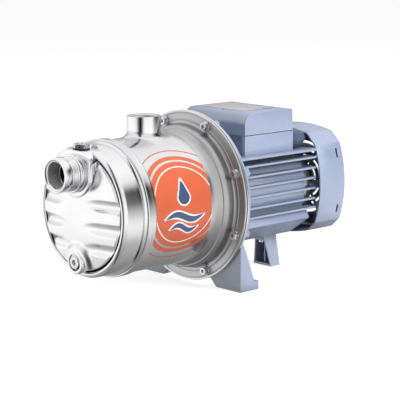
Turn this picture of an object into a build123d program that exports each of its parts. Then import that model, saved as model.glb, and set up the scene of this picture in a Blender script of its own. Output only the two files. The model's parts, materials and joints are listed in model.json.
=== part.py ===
"""Self-priming jet pump, close-coupled to a fan-cooled single-phase motor.

Millimetres. Pieces are drawn with the shaft as the X axis: stations are measured from the front
face of the pump flange, negative towards the suction end, and heights from the shaft's centre.
place() then moves each piece to the part's own frame: origin midway between the two front foot
bolt holes on the base plane, +X from the pump end to the fan end, +Z up.
"""
from build123d import *
import os

# ---- driving dimensions -------------------------------------------------------------------
AXIS_HEIGHT = 106.0          # shaft above the base plane
FOOT_BOLT_X = 23.0           # station of the foot bolt holes
FOOT_BOLT_SPACING = 132.0
FOOT_BOLT_R = 4.5

SHEET = 1.5                  # stainless sheet of the pump body
FLANGE_R = 103.0
FLANGE_SHEET = 2.5
FLANGE_BOLTS = 8
FLANGE_BOLT_PCR = 94.0       # pitch circle radius
FLANGE_BOLT_R = 3.0
FLANGE_HOLE_R = 3.3
BARREL_R = 78.0
BARREL_FRONT = -128.0
BEAD_R = 80.0
HEAD_R = 76.0
RIM_X = -160.0               # crest of the front head's rim
DISH_X = -169.0              # crown of the dished front
DISH_R = 67.0
FLUTES = (39, 78, 101, 125)  # flute directions in degrees from straight up, on each side

PORT_OD_R = 20.0             # one-inch female pipe sockets
PORT_THREAD_R = 16.6
PORT_THREAD = 18.0
PORT_WATER_R = 14.5
SUCTION_Z = 45.7
SUCTION_X = -196.8
DISCHARGE_X = -65.2
DISCHARGE_Z = 102.35
PAD_X = -170.0
PAD_HALF = 27.0
PAD_TOP = 72.0
PAD_END = -146.0             # where the pad's flat top steps up to the head
FILLER_X = -158.5
DRAIN_Z = -57.0
DRAIN_FACE = -171.0
DRAIN_SEAT = -167.0

GASKET = 1.0
BACK_PLATE_X = FLANGE_SHEET + GASKET
BRACKET_X = BACK_PLATE_X + 2.0
BRACKET_FACE = 11.0
CASING_X = 30.0
CASING_END = 145.0
CASING_R = 60.0
CASING_BORE = 57.6
FIN_END = 160.0
BAND_END = 150.0             # end of the smooth band under the casing
SUPPORT_SCREW_X = 131.0
FIN_TIP = 65.0
FIN_HEIGHTS = (37.0, 24.0, 11.3, -1.6, -14.4, -26.0)
LEDGE_Z = 48.0               # top of the casing's side ledges, under the terminal box

SHIELD_END = 158.0
TIE_ROD_PCR = 54.9
CORE_X0, CORE_X1 = 55.0, 125.0
AIR_GAP_R = 31.0
ROTOR_R = 30.6
FRONT_BEARING = dict(x0=20.0, width=12.0, bore=8.5, outer=20.0, pitch=14.25, ball=3.35, balls=8)
REAR_BEARING = dict(x0=147.0, width=11.0, bore=7.5, outer=17.5, pitch=12.5, ball=2.95, balls=8)
BALL_GAP = 0.15

COVER_X0, COVER_X1 = 162.0, 210.0
COVER_WALL = 2.0
COVER_SCREW_PCR = 53.7
COVER_SCREW_SEAT = 205.0
FAN_R = 46.0

BOX_X0, BOX_X1 = 47.6, 130.0
BOX_Y0, BOX_Y1 = -53.0, 54.0
BOX_SPLIT = 72.5
BOX_TOP = 98.5
BOX_WALL = 2.5
BOX_GASKET = 0.8
LID_SCREWS = ((64.0, 4.0), (124.0, 4.0))
GLAND_Y, GLAND_Z = -41.0, 60.0
CABLE_R = 4.5
TERMINALS = (-20.0, -13.0, -6.0, 1.0, 8.0)


# ---- helpers --------------------------------------------------------------------------------
def place(shape):
    return Pos(-FOOT_BOLT_X, 0, AXIS_HEIGHT) * shape


def save(node, *pieces):
    """Write one node; every piece given stays its own solid."""
    solids = [solid for piece in pieces for solid in piece.solids()]
    export_step(place(Compound(solids)), f"parts/{node}.step")


def along_x(x0, x1, radius, y=0, z=0):
    return Pos((x0 + x1) / 2, y, z) * Rot(0, 90, 0) * Cylinder(radius, x1 - x0)


def along_z(z0, z1, radius, x=0, y=0):
    return Pos(x, y, (z0 + z1) / 2) * Cylinder(radius, z1 - z0)


def pipe_x(x0, x1, outer, inner, y=0, z=0):
    return along_x(x0, x1, outer, y, z) - along_x(x0 - 1, x1 + 1, inner, y, z)


def pipe_z(z0, z1, outer, inner, x=0, y=0):
    return along_z(z0, z1, outer, x, y) - along_z(z0 - 1, z1 + 1, inner, x, y)


def block(x0, x1, y0, y1, z0, z1):
    size = Box(x1 - x0, abs(y1 - y0), z1 - z0)
    return Pos((x0 + x1) / 2, (y0 + y1) / 2, (z0 + z1) / 2) * size


def spun(*outline):
    """Solid of revolution about the shaft from (station, radius) points."""
    return revolve(make_face(Plane.XZ * Polyline(*outline, close=True)), Axis.X)


def slab_x(x0, x1, sketch):
    """Extrude a sketch drawn in (Y, Z) between two stations."""
    return extrude(Plane.YZ.offset(x0) * sketch, amount=x1 - x0, dir=(1, 0, 0))


def slab_y(y0, y1, face):
    """Extrude a face drawn in (X, Z) between two Y positions."""
    return extrude(Pos(0, y0, 0) * face, amount=y1 - y0, dir=(0, 1, 0))


def side_face(*outline):
    """Flat face from (X, Z) points."""
    return make_face(Plane.XZ * Polyline(*outline, close=True))


def hexagon(across_flats):
    return RegularPolygon(across_flats / 2, 6, major_radius=False)


def around(piece, count, start=0.0):
    """Copies of a piece spread evenly about the shaft."""
    return [Rot(start + k * 360 / count, 0, 0) * piece for k in range(count)]


# ---- pump body ------------------------------------------------------------------------------
def pad_outline(inset=0.0):
    """Raised pad round the suction port: flat top, straight sides, round bottom."""
    width = 2 * (PAD_HALF - inset)
    rise = PAD_TOP - inset - SUCTION_Z
    round_end = Pos(0, SUCTION_Z) * Circle(PAD_HALF + 1 - inset)
    flat_end = Pos(0, SUCTION_Z + rise / 2) * Rectangle(width, rise)
    flat_end = fillet(flat_end.vertices().sort_by(Axis.Y)[-2:], 11.0 - inset)
    return (round_end & Pos(0, SUCTION_Z - 20) * Rectangle(width, 40)) + flat_end


def flute_cutter(degrees):
    """Long cone that scoops one petal-shaped flute into the dish, deeper towards the rim."""
    cone = Pos(0, 0, 46) * Cone(2.0, 9.5, 48)
    lean = Pos(DISH_X - 5, 0, 0) * Rot(0, 5.5, 0) * cone
    return Rot(degrees, 0, 0) * lean


def front_head():
    shell = spun(
        (-121, BARREL_R), (-128, BARREL_R), (-131, HEAD_R), (-150, HEAD_R), (-156, 75.3),
        (RIM_X + 0.8, 73.8), (RIM_X, 72), (RIM_X + 0.8, 70), (RIM_X + 3, 68.6), (RIM_X + 3, 68),
        (RIM_X - 1, DISH_R), (-163.6, 58), (-166.2, 45), (-168, 28), (DISH_X, 0),
        (DISH_X + 3.5, 0), (-164.4, 28), (-162.6, 45), (-160, 58), (RIM_X + 5, 67),
        (RIM_X + 5, 71.8), (-154, 73.8), (-150, HEAD_R - SHEET), (-131, HEAD_R - SHEET),
        (-127.4, BARREL_R - SHEET), (-121, BARREL_R - SHEET))
    for angle in FLUTES:
        shell -= flute_cutter(angle) + flute_cutter(-angle)
    shell -= block(-180, PAD_END, -40, 40, PAD_TOP, 90)
    envelope = along_x(-180, PAD_END, HEAD_R)
    pad = slab_x(PAD_X, PAD_END, pad_outline()) & envelope
    step = block(PAD_END - SHEET, PAD_END, -40, 40, PAD_TOP - SHEET, 90) & envelope
    hollow = slab_x(PAD_X + 2, PAD_END - SHEET, pad_outline(SHEET))
    cavity = spun((-140, 0), (DISH_X + 3.5, 0), (-164.4, 28), (-162.6, 45), (-160, 58),
                  (-155, 71.8), (-150, HEAD_R - SHEET), (-140, HEAD_R - SHEET))
    cavity -= block(-180, PAD_END, -40, 40, PAD_TOP - SHEET, 90)
    head = shell + pad + step - hollow - cavity
    head -= along_x(-180, -160, 19, z=SUCTION_Z)
    head -= along_z(60, 80, 10.5, FILLER_X)
    head -= along_x(-180, -150, 13.5, z=DRAIN_Z)
    return head


def casing_barrel():
    outside = spun(
        (BARREL_FRONT, 0), (BARREL_FRONT, 79), (-127, BEAD_R), (-116, BEAD_R), (-114, BARREL_R),
        (-29, BARREL_R), (-20, 80.8), (-11, 85.3), (-7, 86), (-2, 86), (0, 88), (0, FLANGE_R),
        (FLANGE_SHEET, FLANGE_R), (FLANGE_SHEET, 0))
    neck = Pos(DISCHARGE_X, 0, 0) * revolve(make_face(Plane.XZ * Polyline(
        (0, 70), (29, 70), (25, 77.5), (22, 80), (20.5, 84), (0, 84), close=True)), Axis.Z)
    inside = spun(
        (BARREL_FRONT - 1, 0), (BARREL_FRONT - 1, BARREL_R), (-121, BARREL_R), (-119, 76.5),
        (-29, 76.5), (-20, 79.3), (-11, 83.8), (-7, 84.5), (FLANGE_SHEET + 1, 84.5),
        (FLANGE_SHEET + 1, 0))
    barrel = outside + neck - inside - along_z(60, 90, PORT_OD_R, DISCHARGE_X)
    hole = along_x(-5, 5, FLANGE_HOLE_R, z=FLANGE_BOLT_PCR)
    for cut in around(hole, FLANGE_BOLTS, 180 / FLANGE_BOLTS):
        barrel -= cut
    return barrel


def suction_socket():
    tube = along_x(SUCTION_X, -176, PORT_OD_R, z=SUCTION_Z)
    collar = along_x(-176, PAD_X, 22, z=SUCTION_Z)
    tail = along_x(PAD_X, -166, 19, z=SUCTION_Z)
    bore = along_x(SUCTION_X - 1, SUCTION_X + PORT_THREAD, PORT_THREAD_R, z=SUCTION_Z)
    passage = along_x(SUCTION_X, -160, PORT_WATER_R, z=SUCTION_Z)
    return tube + collar + tail - bore - passage


def discharge_socket():
    tube = along_z(75.5, DISCHARGE_Z, PORT_OD_R, DISCHARGE_X)
    bore = along_z(DISCHARGE_Z - PORT_THREAD, DISCHARGE_Z + 1, PORT_THREAD_R, DISCHARGE_X)
    passage = along_z(70, DISCHARGE_Z, PORT_WATER_R, DISCHARGE_X)
    return tube - bore - passage


def filler_boss():
    return pipe_z(66.5, PAD_TOP, 10.5, 8.5, FILLER_X)


def filler_plug():
    head = Pos(FILLER_X, 0, PAD_TOP + 1) * extrude(Rot(0, 0, 37) * hexagon(17), amount=5.5)
    recess = along_z(PAD_TOP + 5, PAD_TOP + 7, 5.5, FILLER_X)
    return head - recess + along_z(66.5, PAD_TOP + 1, 8.2, FILLER_X)


def drain_boss():
    outline = make_face(Plane.XZ * Polyline(
        (DRAIN_FACE, 9.8), (DRAIN_FACE, 12.6), (DRAIN_FACE + 0.9, 13.5), (-158, 13.5), (-158, 6.9),
        (DRAIN_SEAT, 6.9), (DRAIN_SEAT, 9.8), close=True))
    return Pos(0, 0, DRAIN_Z) * revolve(outline, Axis.X)


def drain_plug():
    head = slab_x(DRAIN_SEAT - 4.5, DRAIN_SEAT - 1, Pos(0, DRAIN_Z) * hexagon(14))
    slot = block(DRAIN_SEAT - 6, DRAIN_SEAT - 2.5, -1.2, 1.2, DRAIN_Z - 5, DRAIN_Z + 5)
    return head - slot + along_x(DRAIN_SEAT - 1, PAD_X + 9, 6.6, z=DRAIN_Z)


def flange_bolt():
    washer = pipe_x(-1.2, 0, 6, FLANGE_BOLT_R)
    head = slab_x(-5.6, -1.2, hexagon(10))
    socket = slab_x(-6, -3.4, hexagon(5))
    bolt = head - socket + along_x(-1.2, 15.5, FLANGE_BOLT_R)
    return [Pos(0, 0, FLANGE_BOLT_PCR) * bolt, Pos(0, 0, FLANGE_BOLT_PCR) * washer]


def body_gasket():
    ring = pipe_x(FLANGE_SHEET, BACK_PLATE_X, FLANGE_R - 1, 86)
    hole = along_x(0, 5, FLANGE_HOLE_R, z=FLANGE_BOLT_PCR)
    for cut in around(hole, FLANGE_BOLTS, 180 / FLANGE_BOLTS):
        ring -= cut
    return ring


# ---- hydraulic parts --------------------------------------------------------------------------
def suction_chamber():
    """Flat capsule that carries water from the port down to the jet on the shaft's centre."""
    def capsule(radius):
        return make_face([
            Line((-radius, 0), (-radius, SUCTION_Z)),
            ThreePointArc((-radius, SUCTION_Z), (0, SUCTION_Z + radius), (radius, SUCTION_Z)),
            Line((radius, SUCTION_Z), (radius, 0)),
            ThreePointArc((radius, 0), (0, -radius), (-radius, 0)),
        ])
    shell = slab_x(-160, -138, capsule(20)) - slab_x(-157, -141, capsule(17))
    inlet = pipe_x(-168, -157, 14.3, 12, z=SUCTION_Z)
    shell = shell - along_x(-161, -156, 12.5, z=SUCTION_Z) + inlet
    return shell - along_x(-142, -137, 12.2) - along_x(-161, -156, 7)


def nozzle():
    return spun((-162, 9), (-160, 9), (-160, 7), (-150, 7), (-143, 4.5), (-143, 3), (-151, 4),
                (-162, 5.5))


def venturi_tube():
    return spun((-142, 12.2), (-137, 12.2), (-137, 16), (-134, 16), (-134, 12.5), (-110, 11),
                (-62, 20), (-56, 20), (-56, 17.5), (-62, 17.5), (-110, 7), (-128, 7), (-142, 10))


def diffuser():
    """Guide-vane ring round the impeller, with the neck that takes the jet tube."""
    front = spun((-62, 20), (-62, 23), (-45, 23), (-37, 26), (-37, 66), (-34, 66), (-34, 18.4),
                 (-40, 18.4), (-40, 20))
    rear = pipe_x(-14, -11, 66, 51.5) + pipe_x(-11, BACK_PLATE_X, 66, 62)
    passage = pipe_x(-34.5, -13.5, 66, 51.5)
    vane = slab_x(-34.5, -13.5, Pos(0, 58.5) * Rot(0, 0, 38) * Rectangle(22, 2.2))
    body = front + rear
    for blade in around(vane, 7):
        body += blade & passage
    return body


def impeller():
    hub = pipe_x(-39.5, -14, 11, 6)
    back = pipe_x(-20, -17, 50, 6)
    shroud = spun((-39, 15.5), (-39, 18), (-32, 18), (-30.5, 22), (-30.5, 50), (-28, 50),
                  (-28, 20), (-30, 15.5))
    wheel = hub + back + shroud
    keyway = block(-37, -22, -1.5, 1.5, 0, 7.8)
    arc = make_face([
        ThreePointArc((0, 15), (14, 34), (42, 26.5)),
        Line((42, 26.5), (43.2, 24.4)),
        ThreePointArc((43.2, 24.4), (15.5, 31.8), (2, 14.5)),
        Line((2, 14.5), (0, 15)),
    ])
    vane = slab_x(-28.5, -19.5, arc)
    for blade in around(vane, 6):
        wheel += blade
    return wheel - keyway


def impeller_key():
    return block(-36, -22.5, -1.5, 1.5, 4.2, 7.6)


# ---- mechanical seal --------------------------------------------------------------------------
def back_plate():
    plate = spun((BACK_PLATE_X, 22), (BACK_PLATE_X, FLANGE_R), (BRACKET_X, FLANGE_R),
                 (BRACKET_X, 24), (15, 24), (15, 11), (13, 11), (13, 22))
    hole = along_x(0, 10, FLANGE_HOLE_R, z=FLANGE_BOLT_PCR)
    for cut in around(hole, FLANGE_BOLTS, 180 / FLANGE_BOLTS):
        plate -= cut
    return plate


def seal_spring():
    path = Helix(pitch=2.4, height=7.2, radius=10.4)
    wire = sweep(Plane(path @ 0, z_dir=path % 0) * Circle(0.6), path)
    return Pos(-12.0, 0, 0) * Rot(0, 90, 0) * wire


# ---- motor ------------------------------------------------------------------------------------
def foot(side):
    """One front foot: face plate, outer web with a raked rear edge, and the bolted pad."""
    base = -AXIS_HEIGHT
    outer = 88.8
    face = slab_x(6, BRACKET_FACE, make_face(Polyline(
        (side * 47.5, base), (side * outer, base), (side * outer, -44), (side * 62, -60),
        (side * 34, -90), (side * 37, -96), close=True)))
    web = side_face((6, base), (34, base), (28, -92), (12.5, -52), (6, -44))
    web = slab_y(*sorted((side * outer, side * (outer - 5))), web)
    pad = slab_x(6, 36, make_face(Polyline(
        (side * 47.5, base), (side * outer, base), (side * outer, base + 10.5),
        (side * 47.5, base + 10.5), close=True)))
    hole = along_z(base - 1, base + 12, FOOT_BOLT_R, FOOT_BOLT_X, side * FOOT_BOLT_SPACING / 2)
    return face + web + pad - hole


def motor_bracket():
    bearing = FRONT_BEARING
    pocket_r = bearing["outer"]
    body = spun(
        (BRACKET_X, 58), (BRACKET_X, 100), (BRACKET_FACE, 100), (BRACKET_FACE, 62),
        (CASING_X, 62), (CASING_X, CASING_BORE), (34, CASING_BORE), (34, 53), (18, 53), (18, 25),
        (32, 25), (32, pocket_r), (20, pocket_r), (20, 13), (15.5, 13), (15.5, 50))
    body = body + foot(-1) + foot(1)
    boss = along_x(BRACKET_FACE - 1, 17, 6.5, z=FLANGE_BOLT_PCR - 1)
    for lug in around(boss, FLANGE_BOLTS, 180 / FLANGE_BOLTS):
        body += lug
    hole = along_x(0, 16, FLANGE_BOLT_R, z=FLANGE_BOLT_PCR)
    for cut in around(hole, FLANGE_BOLTS, 180 / FLANGE_BOLTS):
        body -= cut
    for cut in around(along_x(20, 40, 2.0, z=TIE_ROD_PCR), 4, 45):
        body -= cut
    return body


def casing_section():
    """Ribbed outline of the extruded motor casing, in (Y, Z)."""
    section = Circle(CASING_R)
    section += make_face(Polyline((-56, -24), (56, -24), (63, -38), (30, -61), (-30, -61),
                                  (-63, -38), close=True))
    section += Pos(0, LEDGE_Z - 1.5) * Rectangle(2 * FIN_TIP, 3)
    for height in FIN_HEIGHTS:
        section += Pos(0, height) * Rectangle(2 * FIN_TIP, 2.4)
    return section


def motor_casing():
    body = slab_x(CASING_X, CASING_END, casing_section()) - along_x(20, 150, CASING_BORE)
    overhang = slab_x(CASING_END, FIN_END, casing_section()) - along_x(140, 170, CASING_R)
    body += overhang - block(BAND_END, 170, -70, 70, -70, -29)
    body -= along_z(-70, -50, 2, SUPPORT_SCREW_X)
    return body - block(78, 102, -14, 14, 40, 70)


def rear_shield():
    bearing = REAR_BEARING
    ring = CASING_BORE
    body = spun(
        (141, 50), (141, ring), (SHIELD_END, ring), (SHIELD_END, 23), (163, 23), (163, 9),
        (160, 9), (160, bearing["outer"]), (147, bearing["outer"]), (147, 22), (153, 22),
        (153, 50))
    for cut in around(along_x(140, 160, 2.0, z=TIE_ROD_PCR), 4, 45):
        body -= cut
    for cut in around(along_x(145, 160, 1.8, z=COVER_SCREW_PCR), 4):
        body -= cut
    return body


def tie_rod():
    shank = along_x(24, SHIELD_END, 2.0, z=TIE_ROD_PCR)
    head = slab_x(SHIELD_END, SHIELD_END + 3, Pos(0, TIE_ROD_PCR) * hexagon(7))
    return shank + head


def stator_core():
    core = along_x(CORE_X0, CORE_X1, CASING_BORE) - along_x(CORE_X0 - 1, CORE_X1 + 1, AIR_GAP_R)
    slot = block(CORE_X0 - 1, CORE_X1 + 1, -2.2, 2.2, 34, 49)
    mouth = block(CORE_X0 - 1, CORE_X1 + 1, -1, 1, 30, 35)
    for cut in around(slot + mouth, 24):
        core -= cut
    notch = along_x(CORE_X0 - 1, CORE_X1 + 1, 2.4, z=TIE_ROD_PCR)
    for cut in around(notch, 4, 45):
        core -= cut
    return core


def stator_windings():
    bars = around(block(CORE_X0, CORE_X1, -1.9, 1.9, 35, 48.5), 24)
    ends = [spun((x0, 36), (x0 + 3, 33.5), (x1 - 3, 33.5), (x1, 36), (x1, 47), (x1 - 4, 50),
                 (x0 + 4, 50), (x0, 47)) for x0, x1 in ((40.0, CORE_X0), (CORE_X1, 140.0))]
    return ends + bars


def rotor_shaft():
    shaft = spun((-49, 0), (-49, 3.5), (-48.5, 4), (-39, 4), (-39, 6), (-14, 6), (-14, 8),
                 (20, 8), (20, 8.5), (32, 8.5), (32, 11), (138, 11), (147, 10), (147, 7.5),
                 (158, 7.5), (158, 6.5), (196, 6.5), (197, 5.5), (197, 0))
    return shaft - block(-36, -22.5, -1.5, 1.5, 4.2, 7)


def bearing_rings(spec):
    """Inner ring, outer ring and ball set of one deep-groove bearing."""
    x0, x1 = spec["x0"], spec["x0"] + spec["width"]
    middle = (x0 + x1) / 2
    groove = Pos(middle, 0, 0) * Rot(0, 90, 0) * Torus(spec["pitch"], spec["ball"] + BALL_GAP)
    inner = pipe_x(x0, x1, spec["pitch"] - 2.1, spec["bore"]) - groove
    outer = pipe_x(x0, x1, spec["outer"], spec["pitch"] + 2.1) - groove
    ball = Pos(middle, 0, spec["pitch"]) * Sphere(spec["ball"])
    pocket = Pos(middle, 0, spec["pitch"]) * Sphere(spec["ball"] + 0.02)
    cage = pipe_x(middle - 3.9, middle + 3.9, spec["pitch"] + 1.1, spec["pitch"] - 1.1)
    for cut in around(pocket, spec["balls"]):
        cage -= cut
    return inner, outer, around(ball, spec["balls"]) + [cage]


def rear_support():
    """Hollow leg under the motor's tail, open to the front, with a middle rib."""
    base = -AXIS_HEIGHT

    def leg(inset, front, floor):
        low = Plane.XY.offset(base + floor)
        high = Plane.XY.offset(-70)
        bottom = low * Pos((front[0] + 148 - inset) / 2, 0) * Rectangle(
            148 - inset - front[0], 31 - 2 * inset)
        top = high * Pos((front[1] + 148 - inset) / 2, 0) * Rectangle(
            148 - inset - front[1], 17 - 2 * inset)
        return loft([bottom, top])

    body = leg(0, (132, 127), 0) - leg(2.5, (120, 118), 3)
    body += block(136, 147, -0.9, 0.9, base + 1, -70)
    body += block(126, 148, -8.5, 8.5, -73, -61)
    return body - along_z(-80, -60, 2.5, SUPPORT_SCREW_X)


def rear_support_screw():
    return along_z(-76, -73, 4, SUPPORT_SCREW_X) + along_z(-73, -58.2, 2, SUPPORT_SCREW_X)


# ---- fan and cover ------------------------------------------------------------------------------
def cover_outline(inset=0.0):
    """Squarish outline of the fan cover with bulging sides, in (Y, Z)."""
    edge = [
        ThreePointArc((-47, 64.8), (0, 70.3), (47, 64.8)),
        Line((47, 64.8), (61, 51)),
        ThreePointArc((61, 51), (70.7, 2), (62.8, -47)),
        Line((62.8, -47), (51, -58)),
        ThreePointArc((51, -58), (0, -65), (-51, -58)),
        Line((-51, -58), (-62.8, -47)),
        ThreePointArc((-62.8, -47), (-70.7, 2), (-61, 51)),
        Line((-61, 51), (-47, 64.8)),
    ]
    face = make_face(edge)
    face = fillet(face.vertices(), 7)
    return offset(face, amount=-inset) if inset else face


def fan_cover():
    shell = slab_x(COVER_X0, COVER_X1, cover_outline())
    shell = fillet(shell.faces().sort_by(Axis.X)[-1].edges(), 5)
    shell -= slab_x(COVER_X0 - 1, COVER_X1 - 5, cover_outline(COVER_WALL))
    shell -= slab_x(COVER_X1 - 6, COVER_X1 - COVER_WALL, cover_outline(6))
    for radius in (18, 27, 36, 45):
        ring = pipe_x(COVER_X1 - 4, COVER_X1 + 1, radius + 1.6, radius - 1.6)
        spokes = block(COVER_X1 - 5, COVER_X1 + 2, -60, 60, -2, 2)
        spokes = spokes + Rot(60, 0, 0) * spokes + Rot(120, 0, 0) * spokes
        shell -= ring - spokes
    for side in (-1, 1):
        for z0, z1 in ((33, 44), (-37, -27)):
            shell -= block(195.5, 198.5, side * 60, side * 75, z0, z1)
    post = along_x(SHIELD_END, COVER_X1 - 1, 5, z=COVER_SCREW_PCR)
    bore = (along_x(SHIELD_END - 1, COVER_X1 + 1, 2.2, z=COVER_SCREW_PCR)
            + along_x(COVER_SCREW_SEAT, COVER_X1 + 1, 4.2, z=COVER_SCREW_PCR))
    for spacer, hole in zip(around(post, 4), around(bore, 4)):
        shell = shell + spacer - hole
    return shell


def cover_screw():
    shank = along_x(146, COVER_SCREW_SEAT, 1.8, z=COVER_SCREW_PCR)
    head = along_x(COVER_SCREW_SEAT, COVER_SCREW_SEAT + 3, 3.8, z=COVER_SCREW_PCR)
    slot = block(COVER_SCREW_SEAT + 1.5, COVER_SCREW_SEAT + 4, -3, 3, COVER_SCREW_PCR - 0.5,
                 COVER_SCREW_PCR + 0.5)
    return shank + head - slot


def fan():
    hub = pipe_x(170, 190, 11, 6.5)
    web = pipe_x(170, 172.5, FAN_R, 6.5)
    blade = block(170, 190, -1.2, 1.2, 9, FAN_R)
    wheel = hub + web
    for vane in around(blade, 8):
        wheel += vane
    return wheel


# ---- terminal box -------------------------------------------------------------------------------
def box_base():
    body = block(BOX_X0, BOX_X1, BOX_Y0, BOX_Y1, LEDGE_Z, BOX_SPLIT - BOX_GASKET)
    tray = block(BOX_X0 + 10 + BOX_WALL, BOX_X1 - BOX_WALL, BOX_Y0 + BOX_WALL, BOX_Y1 - BOX_WALL,
                 LEDGE_Z + BOX_WALL, BOX_SPLIT + 1)
    tray -= along_x(0, 200, CASING_R + 2.8) + block(120, BOX_X1, BOX_Y0, -29, LEDGE_Z, 71)
    recess = block(BOX_X0 - 1, BOX_X0 + 10, BOX_Y0 + 5, BOX_Y1 - 5, LEDGE_Z - 1, BOX_SPLIT + 1)
    body = body - tray - recess - along_x(0, 200, CASING_R + 0.1)
    body -= along_x(110, 140, 9.0, GLAND_Y, GLAND_Z)
    for x, y in LID_SCREWS:
        body += block(x - 4, x + 4, y - 4, y + 4, 61, BOX_SPLIT - BOX_GASKET)
        body -= along_z(60, 80, 1.6, x, y)
    return body - block(80, 100, -12, 12, 55, 70)


def lid_profile(inset=0.0):
    """Side view of the lid in (X, Z): upright rear, broad round over the front."""
    low, top = BOX_SPLIT, BOX_TOP - inset
    front, rear = BOX_X0 + inset, BOX_X1 - inset
    edge = [
        Line((front, low), (front, 85)),
        ThreePointArc((front, 85), (front + 3.4 - inset * 0.3, 93.5 - inset * 0.6),
                      (front + 11, top)),
        Line((front + 11, top), (rear - 1.5, top)),
        Line((rear - 1.5, top), (rear, low)),
        Line((rear, low), (front, low)),
    ]
    return make_face([Plane.XZ * piece for piece in edge])


def box_lid():
    shell = slab_y(BOX_Y0, BOX_Y1, lid_profile())
    shell -= slab_y(BOX_Y0 + BOX_WALL, BOX_Y1 - BOX_WALL, lid_profile(BOX_WALL))
    for x, y in LID_SCREWS:
        shell += along_z(BOX_SPLIT, 97.5, 4.5, x, y)
        shell -= along_z(BOX_SPLIT - 1, 99, 1.9, x, y) + along_z(95, 99, 3.6, x, y)
    return shell


def lid_screw(x, y):
    head = along_z(95, 98, 3.4, x, y) - block(x - 3, x + 3, y - 0.5, y + 0.5, 96.6, 99)
    return head + along_z(64, 95, 1.6, x, y)


def box_gasket():
    low, high = BOX_SPLIT - BOX_GASKET, BOX_SPLIT
    ring = block(BOX_X0 + 10.3, BOX_X1 - 0.3, BOX_Y0 + 0.3, BOX_Y1 - 0.3, low, high)
    return ring - block(BOX_X0 + 12.5, BOX_X1 - 2.5, BOX_Y0 + 2.5, BOX_Y1 - 2.5, low - 1, high + 1)


def terminal_block():
    body = block(104, 118, -24, 12, 62.9, 76)
    for y in TERMINALS:
        body -= block(106.5, 119, y - 2.6, y + 2.6, 68, 77)
    return body


def terminal_screw(y):
    return along_z(68, 71, 2.3, 112, y) + along_z(71, 72.5, 2.5, 112, y)


def run_capacitor():
    can = along_x(62, 112, 15, 32, 77)
    tabs = block(58, 62, 27, 28, 75, 81) + block(58, 62, 36, 37, 75, 81)
    return can + tabs


def gland_body():
    body = along_x(120, BOX_X1, 9.0, GLAND_Y, GLAND_Z)
    body += slab_x(BOX_X1, BOX_X1 + 6, Pos(GLAND_Y, GLAND_Z) * hexagon(21))
    body += along_x(BOX_X1 + 6, BOX_X1 + 15, 8.6, GLAND_Y, GLAND_Z)
    return body - along_x(110, 160, 6.2, GLAND_Y, GLAND_Z)


def gland_nut():
    x0, x1 = BOX_X1 + 6.5, BOX_X1 + 27
    profile = make_face(Plane.XZ * Polyline(
        (x0, 8.6), (x0, 11), (x0 + 9, 11), (x1 - 6, 10), (x1 - 1.5, 7.5), (x1, 6), (x1, 5.6),
        (x1 - 2, 5.6), (x1 - 6, 8.6), close=True))
    return Pos(0, GLAND_Y, GLAND_Z) * revolve(profile, Axis.X)


def gland_seal():
    profile = make_face(Plane.XZ * Polyline(
        (BOX_X1 + 15, CABLE_R), (BOX_X1 + 15, 8.3), (BOX_X1 + 21, 8.3), (BOX_X1 + 25, 5.5),
        (BOX_X1 + 27, 5.5), (BOX_X1 + 27, CABLE_R), close=True))
    return Pos(0, GLAND_Y, GLAND_Z) * revolve(profile, Axis.X)


# ---- write every node -----------------------------------------------------------------------------
os.makedirs("parts", exist_ok=True)
front_inner, front_outer, front_balls = bearing_rings(FRONT_BEARING)
rear_inner, rear_outer, rear_balls = bearing_rings(REAR_BEARING)

save("front_head", front_head())
save("casing_barrel", casing_barrel())
save("suction_socket", suction_socket())
save("discharge_socket", discharge_socket())
save("filler_boss", filler_boss())
save("filler_plug", filler_plug())
save("filler_plug_seal", pipe_z(PAD_TOP, PAD_TOP + 1, 9.8, 8.3, FILLER_X))
save("drain_boss", drain_boss())
save("drain_plug", drain_plug())
save("drain_plug_seal", pipe_x(DRAIN_SEAT - 1, DRAIN_SEAT, 8.6, 6.7, z=DRAIN_Z))
save("flange_bolts", *[copy for piece in flange_bolt()
                       for copy in around(piece, FLANGE_BOLTS, 180 / FLANGE_BOLTS)])
save("body_gasket", body_gasket())

save("suction_chamber", suction_chamber())
save("nozzle", nozzle())
save("venturi_tube", venturi_tube())
save("venturi_seal", pipe_x(-138, -137, 15.8, 12.4))
save("diffuser", diffuser())
save("impeller", impeller())
save("impeller_key", impeller_key())
save("impeller_washer", pipe_x(-41, -39.5, 9, 4.1))
save("impeller_nut", slab_x(-46.5, -41, hexagon(13)) - along_x(-47, -40, 4))

save("back_plate", back_plate())
save("seal_seat", pipe_x(3, 12.5, 15, 9))
save("seal_seat_cup", pipe_x(6, 13, 22, 15))
save("seal_face", pipe_x(-3.5, 2.9, 13.5, 8.1))
save("seal_bellows", pipe_x(-13.8, -3.5, 9.4, 8))
save("seal_spring", seal_spring())
save("shaft_slinger", pipe_x(16, 19, 12.4, 8))

save("motor_bracket", motor_bracket())
save("front_bearing_outer_ring", front_outer)
save("front_bearing_inner_ring", front_inner)
save("front_bearing_balls", *front_balls)
save("rear_bearing_outer_ring", rear_outer)
save("rear_bearing_inner_ring", rear_inner)
save("rear_bearing_balls", *rear_balls)
save("preload_washer", pipe_x(SHIELD_END, 160, 17.2, 13.8))
save("rotor_shaft", rotor_shaft())
save("rotor_core", pipe_x(CORE_X0, CORE_X1, ROTOR_R, 11))
save("rotor_end_rings", pipe_x(CORE_X0 - 6, CORE_X0, 29, 19), pipe_x(CORE_X1, CORE_X1 + 6, 29, 19))
save("stator_core", stator_core())
save("stator_windings", *stator_windings())
save("motor_casing", motor_casing())
save("rear_shield", rear_shield())
save("tie_rods", *around(tie_rod(), 4, 45))
save("rear_support", rear_support())
save("rear_support_screw", rear_support_screw())

save("fan", fan())
save("fan_cover", fan_cover())
save("fan_cover_screws", *around(cover_screw(), 4))

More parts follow.
